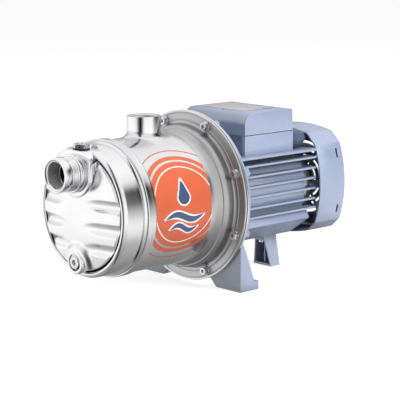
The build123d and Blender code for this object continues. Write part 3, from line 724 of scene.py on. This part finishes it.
def suction_socket():
    low, high = local_box("suction_socket")
    mouth = low.x
    tube = lathe("tube", socket_profile(mouth, 1, PAD_X - mouth, [(10.5, 20.5)]), 160,
                 (0, SUCTION_Z))
    collar = lathe("collar", [(-176.4, 19.9), (-176.4, 21.0)] + arc(-175.2, 20.9, 1.2, 170, 95, 4)
                   + [(-172.0, 22.2)] + arc(-172.0, 21.0, 1.2, 90, 20, 3)
                   + [(-170.4, 21.4), (-169.6, 22.6), (-169.6, 19.9)], 160, (0, SUCTION_Z))
    tail = lathe("tail", [(PAD_X, 19.0), (high.x, 19.0), (high.x, PORT_WATER_R),
                          (PAD_X, PORT_WATER_R)], 96, (0, SUCTION_Z))
    bore_liner("suction_bore", "suction_socket", [(mouth + 2.6, 15.2), (high.x + 14, 14.3)],
               (0, SUCTION_Z), "X")
    mesh = join_meshes("suction_socket_look", [tube, collar, tail])
    return finish_mesh("suction_socket_look", mesh, "suction_socket", "stainless",
                       ["suction_socket"], 30)


def discharge_socket():
    low, high = local_box("discharge_socket")
    centre = ((low.x + high.x) / 2, 0)
    bore_liner("discharge_bore", "discharge_socket", [(high.z - 2.6, 15.2), (low.z + 0.2, 14.3)],
               centre, "Z")
    rim = lathe("discharge_rim", [(high.z - 2.8, 15.1), (high.z - 1.1, 16.7), (high.z - 0.22, 17.6),
                                  (high.z + 0.03, 18.0), (high.z + 0.03, 19.4),
                                  (high.z - 0.4, 18.4), (high.z - 3.0, 15.3)], 160, centre, "Z")
    finish_mesh("discharge_rim", rim, "discharge_socket", "faced_rim", sharp=30)
    mesh = lathe("discharge_socket_look", socket_profile(high.z, -1, high.z - low.z, []), 192,
                 centre, "Z")
    return finish_mesh("discharge_socket_look", mesh, "discharge_socket", "stainless_upright",
                       ["discharge_socket"], 30)


# ---- hexagon heads -------------------------------------------------------------------------------
def hex_prism(base, top, flats, frame_of, chamfer=0.12, turn=0.0, rounds=72):
    """Hexagon head between two levels, its outer corners turned down to a cone."""
    def ring(level, limit):
        out = []
        for k in range(rounds):
            angle = 2 * math.pi * k / rounds + turn
            sixth = (angle - turn) % (math.pi / 3) - math.pi / 6
            radius = min(flats / 2 / math.cos(sixth), limit)
            out.append(frame_of(level, radius * math.cos(angle), radius * math.sin(angle)))
        return out
    corner = flats / 2 / math.cos(math.pi / 6)
    height = top - base
    levels = [(base, 0.01), (base, flats / 2 * 1.02), (base + height * 0.06, corner)]
    levels += [(base + height * (1 - chamfer), corner), (base + height * (1 - 0.35 * chamfer),
               flats / 2 * 1.06), (top, flats / 2 * 0.97), (top, 0.01)]
    points = [p for level, limit in levels for p in ring(level, limit)]
    return mesh_from("hex", points, grid_faces(len(levels), rounds))


def disc_stack(levels, frame_of, rounds=72):
    points = []
    for level, radius in levels:
        for k in range(rounds):
            angle = 2 * math.pi * k / rounds
            points.append(frame_of(level, radius * math.cos(angle), radius * math.sin(angle)))
    return mesh_from("disc", points, grid_faces(len(levels), rounds))


FLANGE_BOLTS, BOLT_CIRCLE_R, BOLT_FLATS = 8, 94.0, 9.0
FILLER_FLATS, DRAIN_FLATS = 17.0, 14.0


def flange_bolts():
    """Hexagon screws with pressed washers round the flange."""
    meshes = []
    for k in range(FLANGE_BOLTS):
        angle = math.radians((k + 0.5) * 360 / FLANGE_BOLTS)
        cy, cz = -BOLT_CIRCLE_R * math.sin(angle), BOLT_CIRCLE_R * math.cos(angle)

        def place(level, a, b, cy=cy, cz=cz):
            return at(-level, cy + a, cz + b)
        meshes.append(disc_stack([(0.05, 3.2), (0.05, 5.8), (0.35, 6.0), (0.9, 6.0), (1.2, 5.7),
                                  (1.2, 3.2)], place))
        meshes.append(disc_stack([(1.2, 0.01), (1.2, 5.3), (1.7, 5.4), (2.3, 4.6), (2.3, 0.01)],
                                 place))
        head = hex_prism(2.0, 6.0, BOLT_FLATS, place, 0.16, turn=0.35 * k)
        well = disc_stack([(3.4, 0.01), (3.4, 2.4), (5.9, 2.5), (6.6, 3.1), (6.6, 0.01)], place, 6)
        meshes.append(cut(head, well))
        meshes.append(disc_stack([(0.0, 0.01), (0.0, 2.95), (-15.0, 2.95), (-15.5, 2.4),
                                  (-15.5, 0.01)], place, 24))
    mesh = join_meshes("flange_bolts_look", meshes)
    return finish_mesh("flange_bolts_look", mesh, "flange_bolts", "plated_fasteners",
                       ["flange_bolts"], 30)


def filler_plug():
    low, high = local_box("filler_plug")
    cx = (low.x + high.x) / 2

    def place(level, a, b):
        return at(cx + a, b, level)
    head = hex_prism(PAD_TOP + 1.0, high.z, FILLER_FLATS, place, 0.14, turn=math.radians(7))
    well = disc_stack([(high.z - 1.4, 0.01), (high.z - 1.4, 4.6), (high.z + 0.5, 5.6),
                       (high.z + 0.5, 0.01)], place, 48)
    stem = disc_stack([(low.z, 0.01), (low.z, 7.4), (low.z + 0.8, 8.2), (PAD_TOP + 1.0, 8.2),
                       (PAD_TOP + 1.0, 0.01)], place, 48)
    mesh = join_meshes("filler_plug_look", [cut(head, well), stem])
    return finish_mesh("filler_plug_look", mesh, "filler_plug", "plated_fasteners",
                       ["filler_plug"], 30)


def drain_plug():
    low, high = local_box("drain_plug")
    cz = (low.z + high.z) / 2

    def place(level, a, b):
        return at(-level, a, cz + b)
    top, base = -low.x, -local_box("drain_plug_seal")[0].x
    head = hex_prism(base, top, DRAIN_FLATS, place, 0.16, turn=math.radians(12))
    slot = disc_stack([(top - 2.2, 0.01), (top - 2.2, 3.6), (top + 0.6, 3.9), (top + 0.6, 0.01)],
                      place, 6)
    stem = disc_stack([(-high.x, 0.01), (-high.x, 5.8), (-high.x + 0.8, 6.6), (base, 6.6),
                       (base, 0.01)], place, 48)
    mesh = join_meshes("drain_plug_look", [cut(head, slot), stem])
    return finish_mesh("drain_plug_look", mesh, "drain_plug", "plated_fasteners",
                       ["drain_plug"], 30)


# ---- decal ---------------------------------------------------------------------------------------
DECAL_X, DECAL_ARC = -72.0, -8.0      # centre: station, and distance round the barrel
DECAL_X0, DECAL_X1 = -114.3, -30.4


def on_barrel(u, v, lift):
    """Point on the near side of the barrel from a station and a distance round it."""
    radius = BARREL_R + lift
    angle = math.pi / 2 + v / BARREL_R
    return at(u, -radius * math.sin(angle), radius * math.cos(angle))


def wrapped_band(inner, outer, lift, segments=240):
    """Ring or disc printed on the barrel, trimmed to the barrel's length."""
    steps = max(2, int((outer - inner) / 1.6))
    rows = [inner + (outer - inner) * k / steps for k in range(steps + 1)]
    work = bmesh.new()
    grid = []
    for radius in rows:
        grid.append([work.verts.new((DECAL_X + radius * math.cos(2 * math.pi * k / segments),
                                     DECAL_ARC + radius * math.sin(2 * math.pi * k / segments), 0))
                     for k in range(segments)])
    for i in range(steps):
        for k in range(segments):
            n = (k + 1) % segments
            work.faces.new((grid[i][k], grid[i][n], grid[i + 1][n], grid[i + 1][k]))
    for limit, normal in ((DECAL_X0, (-1, 0, 0)), (DECAL_X1, (1, 0, 0))):
        bmesh.ops.bisect_plane(work, geom=list(work.verts) + list(work.edges) + list(work.faces),
                               plane_co=(limit, 0, 0), plane_no=normal, clear_outer=True)
    return wrap_flat(work, lift)


def wrap_flat(work, lift):
    for vertex in work.verts:
        vertex.co = on_barrel(vertex.co.x, vertex.co.y, lift)
    mesh = bpy.data.meshes.new("print")
    bmesh.ops.remove_doubles(work, verts=work.verts, dist=1e-6)
    bmesh.ops.recalc_face_normals(work, faces=work.faces)
    work.to_mesh(mesh)
    work.free()
    return mesh


def wrapped_shape(outline, lift, cell=2.0):
    """Closed outline of (station, distance round) points filled and laid on the barrel."""
    work = bmesh.new()
    loop = [work.verts.new((u, v, 0)) for u, v in outline]
    work.faces.new(loop)
    low = min(v for u, v in outline)
    high = max(v for u, v in outline)
    count = int((high - low) / cell)
    for k in range(1, count):
        bmesh.ops.bisect_plane(work, geom=list(work.verts) + list(work.edges) + list(work.faces),
                               plane_co=(0, low + k * (high - low) / count, 0),
                               plane_no=(0, 1, 0))
    return wrap_flat(work, lift)


def wave_outline(u0, v0, length, swing, width, tilt=0.0):
    """A ribbon that rises and falls, with pointed ends."""
    steps = 36
    upper, lower = [], []
    for k in range(steps + 1):
        t = k / steps
        u = u0 + length * (t - 0.5)
        v = v0 - swing * math.sin(2 * math.pi * t) - tilt * (t - 0.5) * length
        half = width / 2 * max(0.05, math.sin(math.pi * t)) ** 0.55
        upper.append((u, v - half))
        lower.append((u, v + half))
    return upper + lower[::-1]


def drop_outline(u0, v0, size, grow=0.0):
    """A falling drop: round below, drawn to a point above."""
    radius = size * 0.36 + grow
    points = []
    for k in range(60):
        angle = 2 * math.pi * k / 60
        stretch = max(0.0, -math.sin(angle)) ** 2.6
        points.append((u0 + radius * math.cos(angle) * (1 - 0.42 * stretch ** 0.5),
                       v0 + radius * math.sin(angle) - stretch * (size * 0.42 + grow)))
    return points


def decal_inks():
    for name, colour in (("orange_ink", (0.43, 0.078, 0.028)), ("white_ink", (0.56, 0.55, 0.54)),
                         ("navy_ink", (0.030, 0.050, 0.115))):
        g = Graph(name)
        fine = g.noise(g.coords(), 900.0, 2.0)
        cloud = g.noise(g.coords(), 18.0, 3.0)
        shade = g.mix(g.remap(cloud, 0.3, 0.7, 0.0, 1.0), tuple(0.9 * c for c in colour), colour)
        g.set(color=shade, roughness=g.remap(fine, 0.3, 0.7, 0.28, 0.4), specular=0.5, coat=0.25,
              coat_roughness=0.12)
        g.bump(fine, 0.04, 0.00005)
        MATERIALS[name] = g.material


def decal():
    """Printed roundel on the near side: orange disc, rings, and a plain water sign."""
    decal_inks()
    orange = join_meshes("orange", [wrapped_band(0.01, 52.3, 0.10), wrapped_band(55.1, 60.4, 0.10),
                                    wrapped_band(68.6, 70.0, 0.10)])
    white = [wrapped_band(44.4, 45.8, 0.16)]
    navy = []
    for v0, length, width in ((6.0, 56.0, 7.6), (19.0, 40.0, 6.4)):
        white.append(wrapped_shape(wave_outline(DECAL_X, v0, length + 6, 4.0, width + 4.2), 0.16))
        navy.append(wrapped_shape(wave_outline(DECAL_X, v0, length, 4.0, width), 0.22))
    white.append(wrapped_shape(drop_outline(DECAL_X, -17.0, 24.0, 1.9), 0.16))
    navy.append(wrapped_shape(drop_outline(DECAL_X, -17.0, 24.0), 0.22))
    for name, mesh, ink in (("decal_orange", orange, "orange_ink"),
                            ("decal_white", join_meshes("white", white), "white_ink"),
                            ("decal_navy", join_meshes("navy", navy), "navy_ink")):
        finish_mesh(name, mesh, "casing_barrel", ink)


# ---- cable gland ---------------------------------------------------------------------------------
def gland_nut():
    """Domed clamping nut with grip ribs."""
    low, high = local_box("gland_nut")
    cy, cz = (low.y + high.y) / 2, (low.z + high.z) / 2
    segments, ribs = 180, 15
    length = high.x - low.x
    outline = [(0.0, 8.7), (0.0, 10.4), (0.04, 10.9), (0.42, 10.9), (0.5, 10.7), (0.72, 9.8),
               (0.88, 8.6), (0.96, 7.3), (1.0, 6.4), (1.0, 5.6), (0.9, 5.6), (0.7, 8.7)]
    points = []
    for t, radius in outline:
        for k in range(segments):
            angle = 2 * math.pi * k / segments
            rib = 0.45 * max(0.0, math.cos(ribs * angle)) ** 0.5 if radius > 10.3 else 0.0
            r = radius - 0.35 + rib if radius > 10.3 else radius
            points.append(at(low.x + t * length, cy + r * math.cos(angle),
                             cz + r * math.sin(angle)))
    mesh = mesh_from("gland_nut_look", points, grid_faces(len(outline), segments))
    return finish_mesh("gland_nut_look", mesh, "gland_nut", SLOT_OF["gland_nut"], ["gland_nut"],
                       30)


# ---- light and floor -----------------------------------------------------------------------------
# Radiance of the surround against height, as (sine of elevation, value), on its two sides:
# the open side ends in a dark band above the horizon, the wall side is a bright screen.
OPEN_SIDE = ((-1.0, 0.40), (-0.77, 0.46), (-0.64, 0.60), (-0.50, 1.00), (-0.36, 1.15),
             (-0.26, 1.05), (-0.17, 0.88), (-0.09, 0.68), (0.0, 0.46), (0.08, 0.28), (0.15, 0.10),
             (0.22, 0.01), (0.42, 0.01), (0.46, 0.12), (0.50, 0.40), (0.55, 0.80), (0.62, 1.10),
             (0.75, 1.25), (1.0, 1.25))
# The side behind the pump, dim below and just above the horizon, and how much of it shows.
UNDER_SIDE = ((-1.0, 0.20), (-0.50, 0.26), (-0.10, 0.34), (0.05, 0.48), (0.22, 0.55),
              (0.40, 1.0), (1.0, 1.20))
UNDER_SHARE = ((-180, 0.0), (78, 0.0), (95, 0.35), (112, 0.75), (128, 1.0), (152, 1.0),
               (168, 0.0), (180, 0.0))
WALL_SIDE = ((-1.0, 0.32), (-0.77, 0.50), (-0.50, 0.90), (-0.26, 1.25), (0.0, 1.30), (0.20, 1.20),
             (0.44, 1.10), (0.68, 1.05), (1.0, 1.15))
# How much of the wall side shows, and how dark the flag is, against azimuth in degrees.
WALL_SHARE = ((-180, 0.6), (-155, 1.0), (-110, 1.0), (-92, 0.75), (-80, 0.4), (-46, 0.6),
              (-34, 1.0), (15, 1.0), (25, 0.6), (35, 0.2), (50, 0.0), (75, 0.05), (110, 0.3),
              (180, 0.6))
FLAG = ((-180, 1.0), (-90, 1.0), (-77, 0.3), (-69, 0.03), (-60, 0.03), (-54, 0.3), (-43, 1.0),
        (180, 1.0))


AMBIENT = 0.33        # share of the surround's light that reaches matt surfaces


def add_world():
    """Studio surround seen only in reflections and as ambient light.
    The camera itself sees it as plain white."""
    world = bpy.data.worlds.new("studio")
    bpy.context.scene.world = world
    world.use_nodes = True
    tree = world.node_tree
    tree.nodes.clear()

    def node(kind, **settings):
        new = tree.nodes.new(kind)
        for key, value in settings.items():
            setattr(new, key, value)
        return new

    def math_node(operation, a, b):
        new = node("ShaderNodeMath", operation=operation)
        for socket, value in zip(new.inputs, (a, b)):
            if isinstance(value, (int, float)):
                socket.default_value = value
            else:
                tree.links.new(value, socket)
        return new.outputs[0]

    def ramp(value, low, high, stops):
        place = node("ShaderNodeMapRange")
        place.inputs["From Min"].default_value = low
        place.inputs["From Max"].default_value = high
        tree.links.new(value, place.inputs["Value"])
        table = node("ShaderNodeValToRGB")
        elements = table.color_ramp.elements
        while len(elements) < len(stops):
            elements.new(0.5)
        for element, (where, level) in zip(elements, stops):
            element.position = (where - low) / (high - low)
            element.color = (level, level, level, 1.0)
        tree.links.new(place.outputs["Result"], table.inputs["Fac"])
        return table.outputs["Color"]

    split = node("ShaderNodeSeparateXYZ")
    tree.links.new(node("ShaderNodeTexCoord").outputs["Generated"], split.inputs[0])
    azimuth = math_node("ARCTAN2", split.outputs["X"],
                        math_node("MULTIPLY", split.outputs["Y"], -1.0))
    degrees = math_node("MULTIPLY", azimuth, 180 / math.pi)
    open_side = ramp(split.outputs["Z"], -1, 1, OPEN_SIDE)
    wall_side = ramp(split.outputs["Z"], -1, 1, WALL_SIDE)
    sides = node("ShaderNodeMix", data_type="RGBA")
    tree.links.new(ramp(degrees, -180, 180, WALL_SHARE), sides.inputs["Factor"])
    tree.links.new(open_side, sides.inputs["A"])
    tree.links.new(wall_side, sides.inputs["B"])
    flagged = node("ShaderNodeMix", data_type="RGBA", blend_type="MULTIPLY")
    flagged.inputs["Factor"].default_value = 1.0
    shaded = node("ShaderNodeMix", data_type="RGBA")
    tree.links.new(ramp(degrees, -180, 180, UNDER_SHARE), shaded.inputs["Factor"])
    tree.links.new(sides.outputs["Result"], shaded.inputs["A"])
    tree.links.new(ramp(split.outputs["Z"], -1, 1, UNDER_SIDE), shaded.inputs["B"])
    tree.links.new(shaded.outputs["Result"], flagged.inputs["A"])
    tree.links.new(ramp(degrees, -180, 180, FLAG), flagged.inputs["B"])
    light_path = node("ShaderNodeLightPath")
    surround = node("ShaderNodeBackground")
    tree.links.new(flagged.outputs["Result"], surround.inputs["Color"])
    dimmed = math_node("SUBTRACT", 1.0,
                       math_node("MULTIPLY", light_path.outputs["Is Diffuse Ray"], 1 - AMBIENT))
    tree.links.new(dimmed, surround.inputs["Strength"])
    plain = node("ShaderNodeBackground")
    plain.inputs["Color"].default_value = (1.0, 1.0, 1.0, 1.0)
    chosen = node("ShaderNodeMixShader")
    tree.links.new(light_path.outputs["Is Camera Ray"], chosen.inputs["Fac"])
    tree.links.new(surround.outputs[0], chosen.inputs[1])
    tree.links.new(plain.outputs[0], chosen.inputs[2])
    output = node("ShaderNodeOutputWorld")
    tree.links.new(chosen.outputs[0], output.inputs["Surface"])


def add_light(name, place, target, size, power):
    lamp = bpy.data.lights.new(name, "AREA")
    lamp.shape = "RECTANGLE"
    lamp.size, lamp.size_y = size
    lamp.energy = power
    light = bpy.data.objects.new(name, lamp)
    light.location = Vector(place)
    light.rotation_euler = (Vector(place) - Vector(target)).to_track_quat("Z", "Y").to_euler()
    light.visible_glossy = False
    bpy.context.scene.collection.objects.link(light)


def add_lights():
    """Soft lamps for the paint and the floor. The steel mirrors only the studio surround."""
    centre = at(0, 0, 0)
    add_light("overhead", centre + Vector((-1.2, -0.3, 1.8)), centre, (1.8, 1.8), 28.0)
    add_light("near_side", centre + Vector((1.1, -2.2, 0.95)), centre, (1.3, 1.0), 122.0)
    add_light("rear_fill", centre + Vector((0.6, 2.4, 1.2)), centre, (2.0, 1.2), 6.0)


FLOOR_GLOW = 0.80


def add_floor():
    """Plain pale floor with a glow that only the camera sees, so that it stays white.
    It isn't reflected, so the steel shows only the studio surround."""
    mesh = bpy.data.meshes.new("floor")
    half = 60.0
    mesh.from_pydata([(-half, -half, 0), (half, -half, 0), (half, half, 0), (-half, half, 0)], [],
                     [(0, 1, 2, 3)])
    floor = bpy.data.objects.new("floor", mesh)
    floor.location.z = CAD_BOX[0][2] if CAD_BOX[0][2] < 0 else 0.0
    bpy.context.scene.collection.objects.link(floor)
    g = Graph("floor_paper")
    grain = g.noise(g.coords(), 40.0, 3.0)
    g.set(color=g.mix(grain, (0.34, 0.34, 0.34), (0.36, 0.36, 0.36)), roughness=0.9, specular=0.1)
    glow = g.math("MULTIPLY", g.node("ShaderNodeLightPath").outputs["Is Camera Ray"],
                  FLOOR_GLOW)
    g.shader.inputs["Emission Color"].default_value = (1.0, 1.0, 1.0, 1.0)
    g.link(glow, g.shader.inputs["Emission Strength"])
    mesh.materials.append(g.material)
    floor.visible_glossy = False


# ---- build ---------------------------------------------------------------------------------------
def paint_cad_nodes():
    """Give every carried-over CAD node its procedural material."""
    for node, piece in NODES.items():
        piece.data.materials.clear()
        piece.data.materials.append(MATERIALS[SLOT_OF[node]])


def build():
    add_camera()
    make_materials()
    paint_cad_nodes()
    front_head()
    casing_barrel()
    suction_socket()
    discharge_socket()
    flange_bolts()
    filler_plug()
    drain_plug()
    decal()
    gland_nut()
    for node, bevel in (("motor_bracket", 0.7), ("motor_casing", 0.45), ("rear_support", 0.6),
                        ("fan_cover", 0.7), ("terminal_box_base", 0.5), ("terminal_box_lid", 1.0),
                        ("gland_body", 0.4), ("rear_shield", 0.5), ("drain_boss", 0.8),
                        ("back_plate", 0.3), ("label_plate", 0.2), ("fan", 0.4)):
        refined(node, bevel)
    add_world()
    add_lights()
    add_floor()
    bpy.context.scene.view_settings.view_transform = "Standard"


build()
